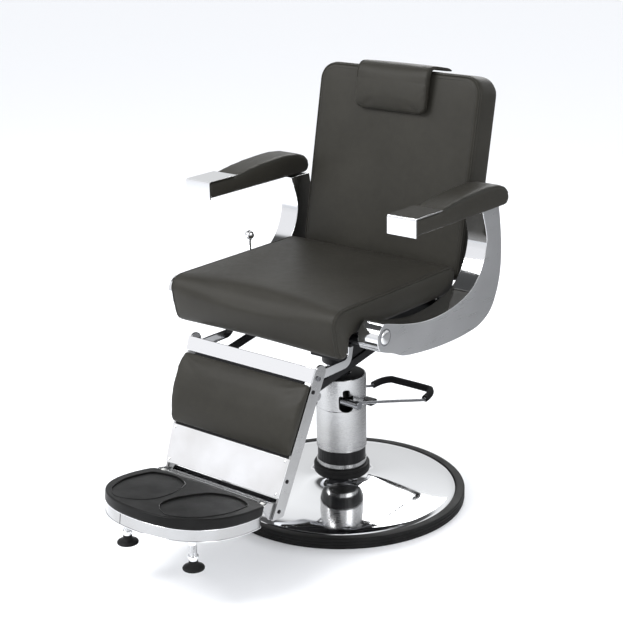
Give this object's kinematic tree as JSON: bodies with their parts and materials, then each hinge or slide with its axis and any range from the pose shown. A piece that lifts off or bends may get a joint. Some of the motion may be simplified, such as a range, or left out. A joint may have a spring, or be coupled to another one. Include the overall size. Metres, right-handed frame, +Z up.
{
  "type": "barber chair",
  "caption": "Hydraulic barber chair with a round base, a foot pump lever, padded seat and armrests, a reclining back with a linked leg-rest, a folding footrest and a sliding headrest.",
  "frame": {"origin": "on the floor at the centre of the round base", "axes": "+Z up, -Y towards the footrest, the way the sitter faces, +X to the sitter's left"},
  "size_m": [0.73, 1.1209, 1.1385],
  "materials": {
    "chrome": "polished",
    "satin_metal": "satin, polished edges",
    "steel": "machined",
    "black_paint": "satin black",
    "board": "bare plywood",
    "rubber": "matt",
    "foam": "soft foam",
    "leather": "smooth, low sheen"
  },
  "bodies": {
    "base": {"base_plate": "steel", "base_rubber_ring": "rubber", "base_cover": "chrome", "column_collar": "rubber", "column_band": "satin_metal", "pump_housing": "black_paint", "column_shroud": "chrome", "pump_block": "black_paint", "column_buffer": "rubber"},
    "lift": {"ram": "steel", "swivel_bearing": "steel"},
    "pump_lever": {"pump_lever_bar": "steel", "pump_lever_grip": "foam"},
    "seat": {"swivel_hub": "black_paint", "seat_frame": "black_paint", "seat_board": "board", "seat_cushion": "leather", "side_frame_left": "satin_metal", "side_frame_right": "satin_metal", "side_frame_bolt_left": "chrome", "side_frame_bolt_right": "chrome", "armrest_pad_left": "leather", "armrest_pad_right": "leather", "armrest_cap_left": "chrome", "armrest_cap_right": "chrome", "legrest_bracket_left": "chrome", "legrest_bracket_right": "chrome", "legrest_pin_left": "steel", "legrest_pin_right": "steel", "recline_lever_pin": "steel"},
    "recline_lever": {"recline_lever_rod": "chrome", "recline_lever_knob": "chrome"},
    "back": {"backrest_pad": "leather", "backrest_frame": "black_paint", "backrest_cover": "leather"},
    "headrest": {"headrest_pad": "leather", "headrest_post": "steel"},
    "legrest": {"legrest_top_bar": "chrome", "legrest_pad": "leather", "legrest_board": "board", "kick_plate": "chrome", "legrest_bottom_strip": "chrome", "footrest_hinge_rod": "steel", "legrest_side_bar_left": "satin_metal", "legrest_side_bar_right": "satin_metal", "footrest_bracket_left": "satin_metal", "footrest_bracket_right": "satin_metal"},
    "link_left": {"recline_link_left": "black_paint"},
    "link_right": {"recline_link_right": "black_paint"},
    "footrest": {"footrest_tread": "rubber", "footrest_pan": "chrome"},
    "glide_left": {"glide_foot_left": "rubber", "glide_stem_left": "chrome"},
    "glide_right": {"glide_foot_right": "rubber", "glide_stem_right": "chrome"}
  },
  "joints": [
    {"name": "lift_slide", "type": "slide", "parent": "base", "child": "lift", "axis": [0, 0, 1], "range_m": [0, 0.15]},
    {"name": "seat_swivel", "type": "hinge", "parent": "lift", "child": "seat", "pos_m": [0, 0, 0.392], "axis": [0, 0, 1], "continuous": true},
    {"name": "pump_lever_hinge", "type": "hinge", "parent": "base", "child": "pump_lever", "pos_m": [0, -0.045, 0.292], "axis": [-1, 0, 0], "range_deg": [0, 22], "stiffness_Nm_per_rad": 2, "springref_deg": -34.38},
    {"name": "recline_lever_hinge", "type": "hinge", "parent": "seat", "child": "recline_lever", "pos_m": [-0.2735, -0.039, 0.552], "axis": [-1, 0, 0], "range_deg": [0, 18], "stiffness_Nm_per_rad": 0.6, "springref_deg": -28.65},
    {"name": "back_recline", "type": "hinge", "parent": "seat", "child": "back", "pos_m": [0, 0.19, 0.575], "axis": [-1, 0, 0], "range_deg": [0, 45]},
    {"name": "headrest_slide", "type": "slide", "parent": "back", "child": "headrest", "axis": [0, 0.1891, 0.982], "range_m": [0, 0.08]},
    {"name": "legrest_hinge", "type": "hinge", "parent": "seat", "child": "legrest", "pos_m": [0, -0.347, 0.482], "axis": [-1, 0, 0], "range_deg": [0, 45]},
    {"name": "link_left_hinge", "type": "hinge", "parent": "legrest", "child": "link_left", "pos_m": [0.165, -0.33832, 0.43276], "axis": [-1, 0, 0], "range_deg": [-45, 0]},
    {"name": "link_right_hinge", "type": "hinge", "parent": "legrest", "child": "link_right", "pos_m": [-0.165, -0.33832, 0.43276], "axis": [-1, 0, 0], "range_deg": [-45, 0]},
    {"name": "footrest_hinge", "type": "hinge", "parent": "legrest", "child": "footrest", "pos_m": [0, -0.509, 0.2], "axis": [-1, 0, 0], "range_deg": [0, 88]},
    {"name": "glide_left_slide", "type": "slide", "parent": "footrest", "child": "glide_left", "axis": [0, 0, -1], "range_m": [0, 0.012]},
    {"name": "glide_right_slide", "type": "slide", "parent": "footrest", "child": "glide_right", "axis": [0, 0, -1], "range_m": [0, 0.012]}
  ],
  "couplings": [
    {"joint": "legrest_hinge", "follows": "back_recline", "ratio": 1},
    {"joint": "link_left_hinge", "follows": "back_recline", "ratio": -1},
    {"joint": "link_right_hinge", "follows": "back_recline", "ratio": -1}
  ]
}
